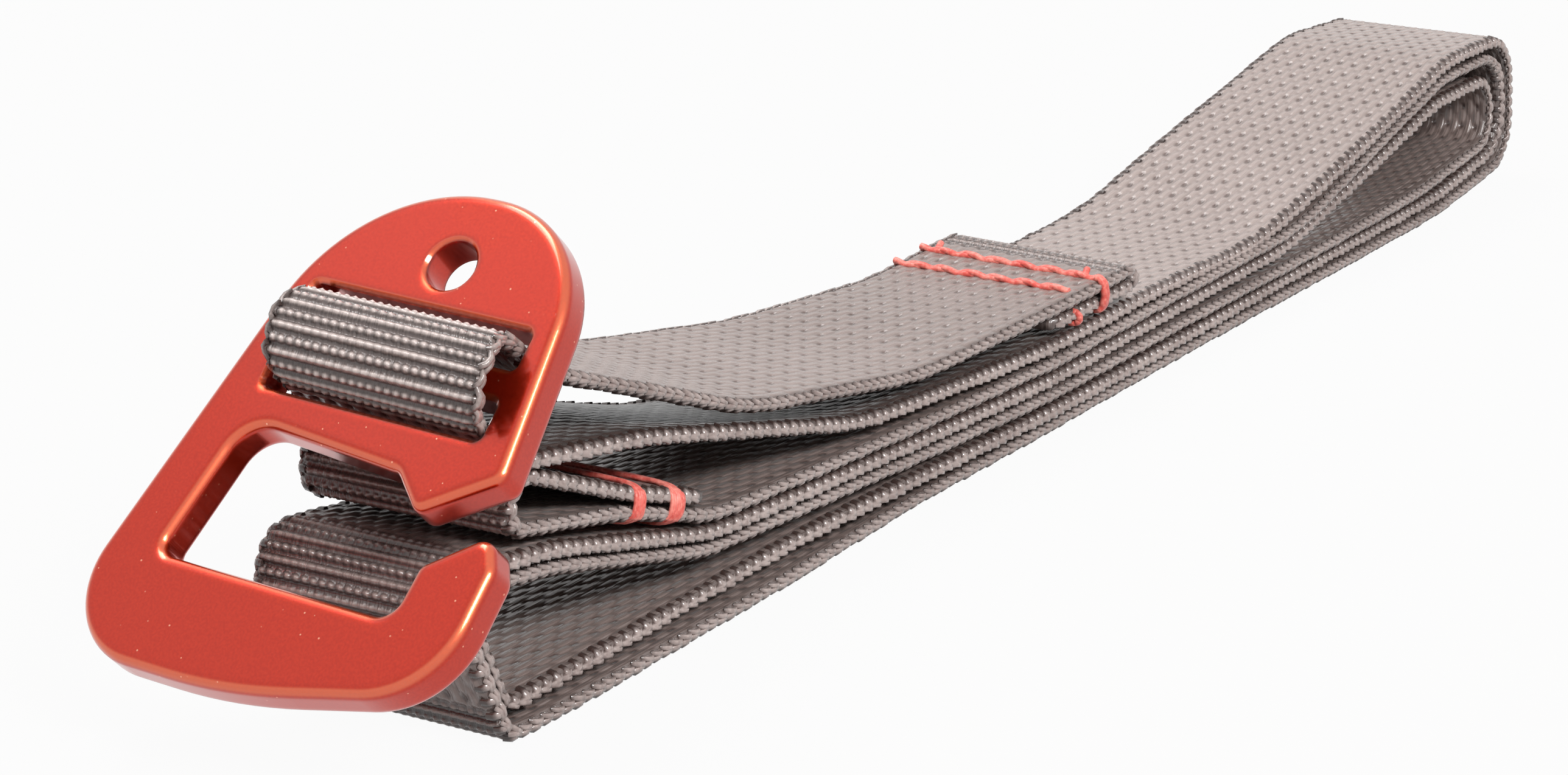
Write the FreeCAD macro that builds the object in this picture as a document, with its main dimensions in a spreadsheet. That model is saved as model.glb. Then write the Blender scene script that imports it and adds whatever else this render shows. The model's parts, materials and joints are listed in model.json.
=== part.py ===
# Webbing accessory strap with an open-hook buckle, folded into a flat bundle.
#
# Frame: +X runs along the bundle from the buckle to the far folds, +Y across the webbing, +Z up.
# The origin is the middle of the whole object's footprint, on the surface it lies on.
# Every size is a cell of the sheet "sizes", in millimetres and degrees.
import FreeCAD, Part
import math
import os

import Sketcher

V = FreeCAD.Vector

doc = FreeCAD.newDocument("strap")
sheet = doc.addObject("Spreadsheet::Sheet", "sizes")

SIZES = [
    # webbing
    ("webbing_width", 20.0),
    ("webbing_thick", 1.4),
    ("layer_gap", 0.1),
    # bundle, measured along X from the bight of the sewn loop
    ("far_end", 198.1),
    ("far_lift", 7.7),
    ("far_ramp", 22.0),
    ("far_flat", 62.0),
    ("near_reach", 9.7),
    ("near_ramp", 4.0),
    ("near_flat", 26.0),
    ("middle", 85.0),
    ("loop_high", 4.6),
    ("tail_end", 100.4),
    ("tail_flap", 15.5),
    # buckle plate
    ("plate_thick", 3.4),
    ("edge_round", 0.8),
    ("bar_width", 2.6),
    ("slot_clear", 0.97),
    ("side_clear", 0.55),
    ("rail_width", 2.9),
    ("arm_width", 3.0),
    ("crown_height", 10.0),
    ("mouth_height", 11.7),
    ("hook_depth", 8.95),
    ("hole_dia", 4.3),
    ("hole_rise", 3.75),
    ("hole_side", 0.7),
    ("slot_corner", 0.6),
    ("slot_rim", 0.35),
    ("hole_rim", 0.25),
    # buckle stance
    ("bar_offset", 2.6),
    ("bar_height", 28.5),
    ("plate_lean", 43.6),
    ("plate_roll", -3.2),
    ("plate_yaw", -1.7),
    # thread
    ("thread_thick", 0.25),
    ("thread_clear", 0.1),
    ("tail_row_width", 0.8),
    ("tail_row_setback", 6.0),
    ("tail_row_pitch", 5.1),
    ("tack_width", 1.4),
    ("tack_setback", 4.4),
    ("tack_pitch", 5.3),
]
for row, (alias, value) in enumerate(SIZES, start=1):
    sheet.set("A%d" % row, alias)
    sheet.set("B%d" % row, str(value))
    sheet.setAlias("B%d" % row, alias)
doc.recompute()


def size(alias):
    return float(getattr(sheet, alias))


# ---------------------------------------------------------------- outline of lines and tangent arcs
def rounded(corners, closed):
    """Route through (a, b, radius) corners as a list of (start, middle or None, end) pieces."""
    count = len(corners)
    points = [V(c[0], c[1], 0) for c in corners]
    if closed:
        turns = list(range(count))
    else:
        turns = list(range(1, count - 1))
    cuts = {}
    for i in turns:
        here = points[i]
        back = (points[i - 1] - here).normalize()
        ahead = (points[(i + 1) % count] - here).normalize()
        half = back.getAngle(ahead) / 2
        radius = corners[i][2]
        reach = radius / math.tan(half)
        toward = (back + ahead).normalize()
        middle = here + toward * (radius / math.sin(half) - radius)
        cuts[i] = (here + back * reach, middle, here + ahead * reach)
    pieces = []
    if closed:
        last = cuts[count - 1][2]
    else:
        last = points[0]
    for i in turns:
        start, middle, end = cuts[i]
        if (start - last).Length > 1e-6:
            pieces.append((last, None, start))
        pieces.append((start, middle, end))
        last = end
    if not closed:
        pieces.append((last, None, points[-1]))
    return pieces


# ---------------------------------------------------------------- buckle plate
# Plate frame: x across the slots, y up the plate, z out of the front face, origin mid-bar on that face.
rail = size("rail_width")
arm = size("arm_width")
mouth = size("mouth_height")
hook = size("hook_depth")
half_slot = size("webbing_width") / 2 + size("side_clear")
slot_high = size("webbing_thick") + 2 * size("slot_clear")
slot_outer = size("bar_width") / 2 + slot_high
crown = slot_outer + size("crown_height")
mouth_top = -slot_outer - arm
mouth_low = mouth_top - mouth
foot = mouth_low - hook
side = half_slot + rail
spine_slope = 0.18
spine = -side - 0.05 * rail
crown_left = spine + spine_slope * crown
crown_right = side - 0.65 * rail
crown_span = crown_right - crown_left

outline = [
    # crown, apex a little right of the middle
    (crown_left, crown, 0.65 * crown_span),
    (crown_right, crown, 0.474 * crown_span),
    # blunt nose that closes the mouth
    (side + 0.26 * rail, mouth_top + 0.183 * arm, 1.2),
    (half_slot - 0.862 * rail, mouth_top - 0.308 * mouth, 1.1),
    (half_slot - 1.93 * rail, mouth_top - 0.073 * mouth, 1.2),
    # inside of the mouth
    (-half_slot + 0.138 * rail, mouth_top + 0.067 * arm, arm),
    (-half_slot - 0.517 * rail, mouth_low, 1.2),
    (half_slot, mouth_low, 1.7),
    (half_slot + 0.07 * rail, mouth_top - 0.615 * mouth, 1.2),
    # hook tip
    (half_slot + 1.69 * rail, mouth_top - 0.299 * mouth, 1.2),
    (side + 1.241 * rail, mouth_top - 0.53 * mouth, 1.7),
    # outside of the hook, foot and spine
    (side + 1.241 * rail, foot + 0.46 * hook, 0.864 * hook),
    (-0.5, foot, 50.0),
    (spine + spine_slope * foot, foot, 0.795 * hook),
]

buckle = doc.addObject("PartDesign::Body", "hook_buckle")
buckle.Label = "hook_buckle"
face_plane = [f for f in buckle.Origin.OriginFeatures if f.Role == "XY_Plane"][0]


def plate_sketch(name):
    sketch = buckle.newObject("Sketcher::SketchObject", name)
    sketch.AttachmentSupport = [(face_plane, "")]
    sketch.MapMode = "FlatFace"
    return sketch


plate_sketch_outline = plate_sketch("plate_outline")
for start, middle, end in rounded(outline, True):
    if middle is None:
        plate_sketch_outline.addGeometry(Part.LineSegment(start, end), False)
    else:
        plate_sketch_outline.addGeometry(Part.Arc(start, middle, end), False)
doc.recompute()

blank = buckle.newObject("PartDesign::Pad", "blank")
blank.Profile = plate_sketch_outline
blank.setExpression("Length", "sizes.plate_thick")
blank.Reversed = True
doc.recompute()

soft = buckle.newObject("PartDesign::Fillet", "soft_edges")
flat_faces = []
for i, face in enumerate(blank.Shape.Faces, start=1):
    if abs(face.normalAt(0, 0).z) > 0.99:
        flat_faces.append("Face%d" % i)
soft.Base = (blank, flat_faces)
soft.setExpression("Radius", "sizes.edge_round")
doc.recompute()


def slot_sketch(name, sign):
    """Round-cornered rectangle beside the bar, above it for sign 1 and below it for sign -1."""
    sketch = plate_sketch(name)
    near = sign * size("bar_width") / 2
    far = sign * slot_outer
    corners = [V(-half_slot, near, 0), V(half_slot, near, 0), V(half_slot, far, 0), V(-half_slot, far, 0)]
    for k in range(4):
        sketch.addGeometry(Part.LineSegment(corners[k], corners[(k + 1) % 4]), False)
    for k in range(4):
        sketch.addConstraint(Sketcher.Constraint("Coincident", k, 2, (k + 1) % 4, 1))
    sketch.addConstraint(Sketcher.Constraint("Horizontal", 2))
    for k in (1, 3):
        sketch.addConstraint(Sketcher.Constraint("Vertical", k))
    sketch.addConstraint(Sketcher.Constraint("Symmetric", 0, 1, 0, 2, -2))
    length = sketch.addConstraint(Sketcher.Constraint("DistanceX", 0, 1, 0, 2, 2 * half_slot))
    if sign > 0:
        inner = sketch.addConstraint(Sketcher.Constraint("DistanceY", -1, 1, 0, 1, abs(near)))
        outer = sketch.addConstraint(Sketcher.Constraint("DistanceY", -1, 1, 2, 1, abs(far)))
    else:
        inner = sketch.addConstraint(Sketcher.Constraint("DistanceY", 0, 1, -1, 1, abs(near)))
        outer = sketch.addConstraint(Sketcher.Constraint("DistanceY", 2, 1, -1, 1, abs(far)))
    sketch.setExpression("Constraints[%d]" % length, "sizes.webbing_width + 2 * sizes.side_clear")
    sketch.setExpression("Constraints[%d]" % inner, "sizes.bar_width / 2")
    reach = "sizes.bar_width / 2 + sizes.webbing_thick + 2 * sizes.slot_clear"
    sketch.setExpression("Constraints[%d]" % outer, reach)
    doc.recompute()
    return sketch


def pocket(name, sketch):
    before = buckle.Shape.Volume
    cut = buckle.newObject("PartDesign::Pocket", name)
    cut.Profile = sketch
    cut.Type = 1
    doc.recompute()
    if not buckle.Shape.Volume < before - 1:
        raise RuntimeError("the pocket %s cuts nothing" % name)
    return cut


pocket("slot_above_bar", slot_sketch("slot_above_bar_sketch", 1))
slots = pocket("slot_below_bar", slot_sketch("slot_below_bar_sketch", -1))

# corners of the two slots, then their rims front and back
corner_edges = []
for i, edge in enumerate(slots.Shape.Edges, start=1):
    a = edge.Vertexes[0].Point
    b = edge.Vertexes[-1].Point
    upright = abs(a.z - b.z) > size("plate_thick") / 2
    in_slot = abs(abs(a.x) - half_slot) < 0.01 and abs(a.y) < slot_outer + 0.01
    if upright and in_slot:
        corner_edges.append("Edge%d" % i)
slot_corners = buckle.newObject("PartDesign::Fillet", "slot_corners")
slot_corners.Base = (slots, corner_edges)
slot_corners.setExpression("Radius", "sizes.slot_corner")
doc.recompute()

rim_edges = []
for i, edge in enumerate(slot_corners.Shape.Edges, start=1):
    box = edge.BoundBox
    level = box.ZMax - box.ZMin < 0.01
    on_face = abs(box.ZMax) < 0.01 or abs(box.ZMax + size("plate_thick")) < 0.01
    in_width = max(abs(box.XMin), abs(box.XMax)) < half_slot + 0.01
    in_height = max(abs(box.YMin), abs(box.YMax)) < slot_outer + 0.01
    if level and on_face and in_width and in_height:
        rim_edges.append("Edge%d" % i)
slot_rims = buckle.newObject("PartDesign::Chamfer", "slot_rims")
slot_rims.Base = (slot_corners, rim_edges)
slot_rims.setExpression("Size", "sizes.slot_rim")
doc.recompute()

# small round hole in the crown
hole_sketch = plate_sketch("crown_hole_sketch")
hole_x = size("hole_side")
hole_y = slot_outer + size("hole_rise")
ring = hole_sketch.addGeometry(Part.Circle(V(hole_x, hole_y, 0), V(0, 0, 1), size("hole_dia") / 2), False)
aside = hole_sketch.addConstraint(Sketcher.Constraint("DistanceX", -1, 1, ring, 3, hole_x))
rise = hole_sketch.addConstraint(Sketcher.Constraint("DistanceY", -1, 1, ring, 3, hole_y))
bore = hole_sketch.addConstraint(Sketcher.Constraint("Diameter", ring, size("hole_dia")))
above_slot = "sizes.bar_width / 2 + sizes.webbing_thick + 2 * sizes.slot_clear + sizes.hole_rise"
hole_sketch.setExpression("Constraints[%d]" % aside, "sizes.hole_side")
hole_sketch.setExpression("Constraints[%d]" % rise, above_slot)
hole_sketch.setExpression("Constraints[%d]" % bore, "sizes.hole_dia")
doc.recompute()
crown_hole = pocket("crown_hole", hole_sketch)
hole_edges = []
for i, edge in enumerate(crown_hole.Shape.Edges, start=1):
    if isinstance(edge.Curve, Part.Circle) and abs(edge.Curve.Radius - size("hole_dia") / 2) < 0.01:
        if abs(edge.Curve.Center.y - hole_y) < 0.01:
            hole_edges.append("Edge%d" % i)
hole_rims = buckle.newObject("PartDesign::Chamfer", "hole_rims")
hole_rims.Base = (crown_hole, hole_edges)
hole_rims.setExpression("Size", "sizes.hole_rim")
doc.recompute()

# stance: the plate leans back over the bundle, and is turned a little in its own plane and about its height
lean = math.radians(size("plate_lean"))
up_plate = V(math.sin(lean), 0, math.cos(lean))
out_front = V(-math.cos(lean), 0, math.sin(lean))
bar_front = V(-size("bar_offset"), 0, size("bar_height"))
axes = FreeCAD.Matrix(0, up_plate.x, out_front.x, 0, -1, 0, 0, 0, 0, up_plate.z, out_front.z, 0, 0, 0, 0, 1)
turn = FreeCAD.Rotation(V(0, 1, 0), size("plate_yaw")) * FreeCAD.Rotation(V(0, 0, 1), size("plate_roll"))
buckle.Placement = FreeCAD.Placement(bar_front, FreeCAD.Rotation(axes) * turn)

# ---------------------------------------------------------------- webbing
# One length of webbing on edge view: its middle line is a route in the X-Z plane, and the strap is
# that line with a thickness, as wide as the webbing.
thick = size("webbing_thick")
pitch = thick + size("layer_gap")
far_end = size("far_end")
tail_end = size("tail_end") - thick / 2


def layer(number):
    """Height of the middle of a resting layer, 1 at the surface below."""
    return thick / 2 + (number - 1) * pitch


def at_plate(y, z):
    place = bar_front + up_plate * y + out_front * z
    return place.x, place.z


wrap = size("bar_width") / 2 + size("slot_clear") + thick / 2
back = size("plate_thick")
middle_x = size("middle")
far_flat = far_end - size("far_flat")
far_ramp = far_end - size("far_ramp")
far_lift = size("far_lift")
near_out = -size("near_reach")
near_ramp = size("near_ramp")
near_flat = size("near_flat")

# the sewn loop fills the room under the strap that leaves the lower slot, the near folds lie below
# the loop, and each layer takes a share of that lift
bight_share = 1.195
under_bar = at_plate(-wrap, -back - 3.4)
loop_top = under_bar[1] - 0.573 * pitch
near_lift = (loop_top - size("loop_high") - layer(5)) / bight_share
loop_radius = 0.41 * size("loop_high")

# second layer: it comes down from the buckle, rests at the middle and climbs a little to the far folds
second_near = near_flat + 24.0
second_share = 0.289
second_rise = 0.7
top_x = near_flat + 6.0
top_share = 0.851

# the tail, with its thread, lies on the second layer where that is highest under the flap
flap_x = size("tail_end") - size("tail_flap")
at_fold = second_rise * (tail_end - middle_x) / (far_flat - middle_x)
at_flap = second_share * near_lift * (middle_x - flap_x) / (middle_x - second_near)
thread_room = size("thread_thick") + size("thread_clear")
tail_low = layer(7) + max(at_fold, at_flap) + thread_room
tail_high = tail_low + pitch

# the cut end of the loop lies along the slope of the layer below it
loop_ramp = near_ramp + 9.5
loop_share = 0.821
flat_share = 0.321
seam_slope = (loop_share - flat_share) * near_lift / (loop_ramp - near_flat)
seam_side = pitch * math.hypot(1, seam_slope)
seam_start = near_ramp + 10.0
seam_end = near_flat - 1.2


def seam(x):
    """Height of the middle of the lower sewn layer of the loop at x."""
    return layer(5) + flat_share * near_lift + seam_slope * (x - near_flat)


# heights of the far folds, for the radii of their corners
inner_fold = far_lift
middle_fold = far_lift + 2.33 * pitch
outer_fold = far_lift + 5.07 * pitch

route = [
    # tail: flap, fold, then the top layer up to the buckle
    (flap_x, tail_low, 0),
    (tail_end, tail_low, pitch / 2),
    (tail_end, tail_high, pitch / 2),
    (near_flat + 34.0, tail_high, 60.0),
    (top_x, layer(6) + top_share * near_lift + 1.03 * pitch, 60.0),
    # through the slots and round the bar
    at_plate(wrap, -back - 0.5) + (4.0,),
    at_plate(wrap, wrap) + (wrap,),
    at_plate(-wrap, wrap) + (wrap,),
    under_bar + (6.5,),
    # second layer, out to the far end
    (near_ramp + 13.0, layer(6) + 1.32 * near_lift, 40.0),
    (second_near, layer(6) + second_share * near_lift, 60.0),
    (middle_x, layer(6), 90.0),
    (far_flat, layer(6) + second_rise, 60.0),
    (far_ramp + 1.0, layer(6) + far_lift + 1.45 * pitch, 25.0),
    (far_end - 0.8, layer(6) + far_lift + 1.2 * pitch, 0.425 * outer_fold),
    (far_end, layer(1) + 1.13 * pitch, 0.33 * outer_fold),
    # bottom layer, back to the outer near fold
    (far_ramp, layer(1), 60.0),
    (near_out + 2.8 * pitch, layer(1), 2.0),
    (near_out, layer(4) + 1.233 * near_lift, 3.2),
    (near_ramp, layer(4) + near_lift, 20.0),
    (near_flat, layer(4) + flat_share * near_lift, 30.0),
    (middle_x, layer(4), 80.0),
    (far_flat, layer(4) + 0.3, 60.0),
    (far_ramp, layer(4) + far_lift, 15.0),
    # innermost far fold
    (far_end - 3.93 * pitch, layer(4) + far_lift, 0.52 * inner_fold),
    (far_end - 3.67 * pitch, layer(3) + pitch, 0.43 * inner_fold),
    (far_ramp - 4.0, layer(3), 60.0),
    (middle_x, layer(3), 80.0),
    (near_flat, layer(3) + flat_share * near_lift, 30.0),
    (near_ramp, layer(3) + near_lift, 20.0),
    # inner near fold
    (near_out + 1.43 * pitch, layer(3) + bight_share * near_lift, 2.2),
    (near_out + 3.53 * pitch, layer(2) + 0.35, 2.0),
    (near_ramp, layer(2) + 0.35, 40.0),
    (near_flat + 14.0, layer(2) + 0.8, 60.0),
    (middle_x, layer(2), 90.0),
    (far_ramp + 1.0, layer(2), 60.0),
    # middle far fold
    (far_end - 1.53 * pitch, layer(2) + 1.27 * pitch, 0.4 * middle_fold),
    (far_end - 1.93 * pitch, layer(5) + far_lift + 0.6 * pitch, 0.53 * middle_fold),
    (far_ramp + 2.0, layer(5) + far_lift + 0.67 * pitch, 20.0),
    (far_flat, layer(5) + 0.5, 60.0),
    (middle_x, layer(5), 80.0),
    (near_flat, layer(5) + flat_share * near_lift, 22.0),
    # sewn loop
    (loop_ramp, layer(5) + loop_share * near_lift, 20.0),
    (near_out + 8.0, layer(5) + bight_share * near_lift, loop_radius),
    (near_out + 8.4, loop_top, loop_radius),
    (seam_start, seam(seam_start) + seam_side, 20.0),
    (seam_end, seam(seam_end) + seam_side, 0),
]


def strap_outline(pieces, half):
    """Closed outline of a strip about a tangent route of lines and arcs."""
    above = []
    below = []
    for start, middle, end in pieces:
        if middle is None:
            along = (end - start).normalize()
            normal = V(-along.y, along.x, 0)
            above.append(Part.LineSegment(start + normal * half, end + normal * half).toShape())
            below.append(Part.LineSegment(start - normal * half, end - normal * half).toShape())
        else:
            bend = Part.Arc(start, middle, end).toShape().Curve
            centre = bend.Center
            radius = bend.Radius
            cross = (middle - start).cross(end - middle).z
            for chain, offset in ((above, half), (below, -half)):
                if cross > 0:
                    scale = (radius - offset) / radius
                else:
                    scale = (radius + offset) / radius
                ends = [centre + (p - centre) * scale for p in (start, middle, end)]
                chain.append(Part.Arc(ends[0], ends[1], ends[2]).toShape())
    head = above[0].Vertexes[0].Point
    foot_point = below[0].Vertexes[0].Point
    above_end = above[-1].Vertexes[-1].Point
    below_end = below[-1].Vertexes[-1].Point
    caps = [Part.LineSegment(foot_point, head).toShape(), Part.LineSegment(above_end, below_end).toShape()]
    return Part.Wire(Part.__sortEdges__(above + below + caps))


pieces = rounded(route, False)
strip = Part.Face(strap_outline(pieces, thick / 2))
solid = strip.extrude(V(0, 0, size("webbing_width")))
solid.rotate(V(0, 0, 0), V(1, 0, 0), 90)
solid.translate(V(0, size("webbing_width") / 2, 0))
webbing = doc.addObject("Part::Feature", "webbing")
webbing.Label = "webbing"
webbing.Shape = solid
doc.recompute()

length = 0.0
for start, middle, end in pieces:
    if middle is None:
        length += (end - start).Length
    else:
        length += Part.Arc(start, middle, end).toShape().Length
print("webbing length %.1f mm, volume ratio %.5f" % (
    length, webbing.Shape.Volume / (length * thick * size("webbing_width"))))


# ---------------------------------------------------------------- thread rows
def thread_ring(label, width_alias, middle, tilt):
    """Row of thread that wraps two layers across the webbing, as a closed band."""
    shell = doc.addObject("Part::Box", label + "_shell")
    void = doc.addObject("Part::Box", label + "_void")
    for box, grow in ((shell, " + 2 * sizes.thread_thick"), (void, "")):
        seam_high = "2 * sizes.webbing_thick + sizes.layer_gap"
        box.setExpression("Width", "sizes.webbing_width + 2 * sizes.thread_clear" + grow)
        box.setExpression("Height", seam_high + " + 2 * sizes.thread_clear" + grow)
    shell.setExpression("Length", "sizes." + width_alias)
    void.setExpression("Length", "sizes." + width_alias + " + 2")
    doc.recompute()
    for box in (shell, void):
        box.Placement.Base = V(-box.Length.Value / 2, -box.Width.Value / 2, -box.Height.Value / 2)
    ring_cut = doc.addObject("Part::Cut", label)
    ring_cut.Base = shell
    ring_cut.Tool = void
    ring_cut.Label = label
    ring_cut.Placement = FreeCAD.Placement(V(middle[0], 0, middle[1]), FreeCAD.Rotation(V(0, 1, 0), tilt))
    doc.recompute()
    return ring_cut


tail_mid = (tail_high + tail_low) / 2
row_1_x = size("tail_end") - size("tail_row_setback")
row_2_x = row_1_x - size("tail_row_pitch")
tack_tilt = -math.degrees(math.atan(seam_slope))


def on_seam(x):
    """Middle of the two sewn layers of the loop at x."""
    return x, seam(x) + seam_side / 2


tack_1_x = seam_end - size("tack_setback")
tack_2_x = tack_1_x - size("tack_pitch")
rows = [
    thread_ring("tail_stitch_outer", "tail_row_width", (row_1_x, tail_mid), 0),
    thread_ring("tail_stitch_inner", "tail_row_width", (row_2_x, tail_mid), 0),
    thread_ring("loop_tack_outer", "tack_width", on_seam(tack_1_x), tack_tilt),
    thread_ring("loop_tack_inner", "tack_width", on_seam(tack_2_x), tack_tilt),
]

# ---------------------------------------------------------------- common origin, checks and export
parts = [buckle, webbing] + rows
doc.recompute()
extent = FreeCAD.BoundBox()
for item in parts:
    extent.add(item.Shape.optimalBoundingBox(True, False))
shift = V(-(extent.XMin + extent.XMax) / 2, -(extent.YMin + extent.YMax) / 2, -extent.ZMin)
for item in parts:
    item.Placement = FreeCAD.Placement(shift, FreeCAD.Rotation()) * item.Placement
doc.recompute()

for item in doc.Objects:
    if "Invalid" in item.State or "Error" in item.State:
        raise RuntimeError("%s did not build: %s" % (item.Name, item.State))
os.makedirs("parts", exist_ok=True)
for item in parts:
    if item.Shape.isNull() or not item.Shape.isValid():
        raise RuntimeError("%s has no valid shape" % item.Label)
for item in parts:
    item.Shape.exportStep(os.path.join("parts", item.Label + ".step"))
    box = item.Shape.BoundBox
    volume = item.Shape.Volume
    extents = (box.XLength, box.YLength, box.ZLength)
    print("%-18s %7.2f %7.2f %7.2f  volume %.1f" % ((item.Label,) + extents + (volume,)))
axis_point = buckle.Placement.multVec(V(0, 0, -size("plate_thick") / 2))
axis = buckle.Placement.Rotation.multVec(V(1, 0, 0))
print("bar axis at %.3f %.3f %.3f along %.5f %.5f %.5f" % (tuple(axis_point) + tuple(axis)))
print("extent %.2f %.2f %.2f, shift %.3f %.3f %.3f" % (
    extent.XLength, extent.YLength, extent.ZLength, shift.x, shift.y, shift.z))
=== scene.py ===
import json
import math

import bpy
import numpy as np
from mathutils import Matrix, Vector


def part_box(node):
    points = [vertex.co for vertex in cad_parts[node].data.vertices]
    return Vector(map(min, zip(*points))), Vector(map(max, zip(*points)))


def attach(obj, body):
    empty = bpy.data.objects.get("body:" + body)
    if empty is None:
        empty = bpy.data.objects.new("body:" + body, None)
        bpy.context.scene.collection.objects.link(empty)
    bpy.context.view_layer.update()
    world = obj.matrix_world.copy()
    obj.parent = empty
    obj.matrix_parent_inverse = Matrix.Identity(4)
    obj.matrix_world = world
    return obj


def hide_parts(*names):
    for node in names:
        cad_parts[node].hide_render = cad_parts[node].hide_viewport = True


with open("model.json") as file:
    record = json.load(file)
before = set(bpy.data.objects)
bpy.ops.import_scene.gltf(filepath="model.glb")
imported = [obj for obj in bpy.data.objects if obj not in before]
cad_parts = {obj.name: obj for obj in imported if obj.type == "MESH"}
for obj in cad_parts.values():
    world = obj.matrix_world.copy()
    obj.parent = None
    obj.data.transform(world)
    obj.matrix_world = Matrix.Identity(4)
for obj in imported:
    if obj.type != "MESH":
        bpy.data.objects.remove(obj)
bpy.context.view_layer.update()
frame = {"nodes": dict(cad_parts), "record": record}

MM = 0.001

# ---------------------------------------------------------------- webbing
# One length of woven polyester webbing, 20 mm wide, that runs from the folded tail stop through the
# buckle and five folds to the sewn loop. It is woven flat, with two weft rows to each repeat, and
# only folded by hand, so no layer lies quite straight.
WEBBING_WIDTH = 20.0
WEBBING_THICK = 1.4
# spacing of the weft rows, of the ridges that show where the cloth is bent, and of the warp columns
ROW = 1.38
RIDGE = ROW / 1.5
COLUMN = 0.83
tape_middle = (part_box("webbing")[0][1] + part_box("webbing")[1][1]) / 2 / MM
# seen on edge the strap is straight runs and round bends: each corner's place along and up, and the
# radius of its bend, in millimetres in the frame of the part
route = [
    # tail flap, its fold, the top layer
    (-3.64, 10.25, 0), (12.9, 10.25, 0.75), (12.9, 11.75, 0.75), (-28.54, 11.75, 60),
    (-56.54, 16.51, 60),
    # up through the buckle, over its bar and back down
    (-86.1, 28.14, 4), (-91.0, 32.95, 3.1), (-95.6, 28.12, 3.1), (-88.5, 21.42, 6.5),
    # second layer, out to the outer far fold
    (-71.54, 18.69, 40), (-38.54, 10.5, 60), (-3.54, 8.2, 90), (40.0, 8.1, 60), (89.5, 17.5, 30),
    (108.5, 16.8, 6.5), (109.56, 2.4, 5.1),
    # bottom layer and the outer near fold
    (87.56, 0.7, 60), (-92.3, 0.7, 2.2), (-98.24, 15.0, 3.2), (-84.54, 13.15, 20), (-62.54, 7.75, 30),
    # fourth layer and the innermost far fold
    (-3.54, 5.2, 80), (47.56, 5.5, 60), (87.56, 12.9, 15), (103.66, 12.9, 4), (104.05, 5.2, 3.3),
    # third layer and the inner near fold
    (83.56, 3.7, 60), (-3.54, 3.7, 80), (-62.54, 6.25, 30), (-84.54, 11.65, 20), (-96.1, 13.2, 2.2),
    (-91.0, 2.55, 1.6), (-84.54, 2.55, 40), (-48.54, 3.0, 60), (-3.54, 2.2, 90), (88.56, 2.2, 60),
    # middle far fold and the fifth layer
    (107.26, 4.11, 4.5), (106.66, 15.3, 5.9), (89.56, 15.2, 20), (50.5, 7.1, 60), (-3.54, 6.7, 80),
    (-62.54, 9.25, 22),
    # sewn loop, to the cut end on the layer below it
    (-75.04, 13.23, 20), (-90.24, 16.2, 1.89), (-89.84, 20.8, 1.89), (-74.54, 14.64, 20),
    (-63.74, 11.21, 0),
]
# the corners that are named further on
TAIL_FOLD, TOP_RUN, BAR_BACK, BAR_UNDER = 2, 3, 5, 8
SECOND_MIDDLE, FAR_FOLD, FAR_FOLD_LOW = 11, 14, 16
NEAR_FOLD_LOW, NEAR_FOLD_END = 17, 19
LOOP_RAMP, LOOP_SEAM, LOOP_END = 42, 45, 46


def straight_run(points, end, step):
    """Carries a line of points straight on to its next end."""
    last = points[-1]
    run = end - last
    count = max(1, int(np.linalg.norm(run) / step))
    points.extend([last + run * k / count for k in range(1, count + 1)])


def walk(corners, step):
    """Closely spaced points of a rounded line, and the number of the point at each corner."""
    points = [np.array(corners[0][:2], float)]
    at_corner = [0]
    for before, (x, z, radius), after in zip(corners, corners[1:], corners[2:]):
        here = np.array((x, z), float)
        back = np.array(before[:2]) - here
        ahead = np.array(after[:2]) - here
        back /= np.linalg.norm(back)
        ahead /= np.linalg.norm(ahead)
        half = math.acos(np.clip(back @ ahead, -1, 1)) / 2
        start = here + back * radius / math.tan(half)
        straight_run(points, start, step)
        centre = here + (back + ahead) / np.linalg.norm(back + ahead) * radius / math.sin(half)
        spoke = start - centre
        sweep = math.pi - 2 * half
        if back[0] * ahead[1] - back[1] * ahead[0] > 0:
            sweep = -sweep
        count = max(2, int(abs(sweep) * radius / step))
        first = len(points)
        for k in range(1, count + 1):
            c, s = math.cos(sweep * k / count), math.sin(sweep * k / count)
            points.append(centre + np.array((c * spoke[0] - s * spoke[1], s * spoke[0] + c * spoke[1])))
        at_corner.append((first + len(points)) // 2)
    straight_run(points, np.array(corners[-1][:2]), step)
    at_corner.append(len(points) - 1)
    return np.array(points), at_corner


def soften(values, reach):
    """Moving average with a bell weight, ends held."""
    weight = np.exp(-0.5 * (np.arange(-3 * reach, 3 * reach + 1) / reach) ** 2)
    weight /= weight.sum()
    held = np.concatenate([np.full(3 * reach, values[0]), values, np.full(3 * reach, values[-1])])
    return np.convolve(held, weight, "valid")


def ease(low, high, value):
    """0 at low and 1 at high, with a soft step between; low may be the larger."""
    t = np.clip((value - low) / (high - low), 0, 1)
    return t * t * (3 - 2 * t)


# the line's points, length and heading, how fast it turns, and the length at each corner
line, corner_point = walk(route, 0.05)
line = np.column_stack([soften(line[:, 0], 9), soften(line[:, 1], 9)])
reached = np.concatenate([[0], np.cumsum(np.linalg.norm(np.diff(line, axis=0), axis=1))])
heading = np.gradient(line, axis=0)
heading /= np.linalg.norm(heading, axis=1)[:, None]
turning = np.gradient(np.unwrap(np.arctan2(heading[:, 1], heading[:, 0]))) / np.gradient(reached)
bending = soften(turning, 40)
tape_length = reached[-1]
at = [reached[i] for i in corner_point]

# the strap turns a little with the buckle where it goes round the bar
buckle_axis = -np.array(frame["record"]["behaviour"]["joints"][0]["axis"])

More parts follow.
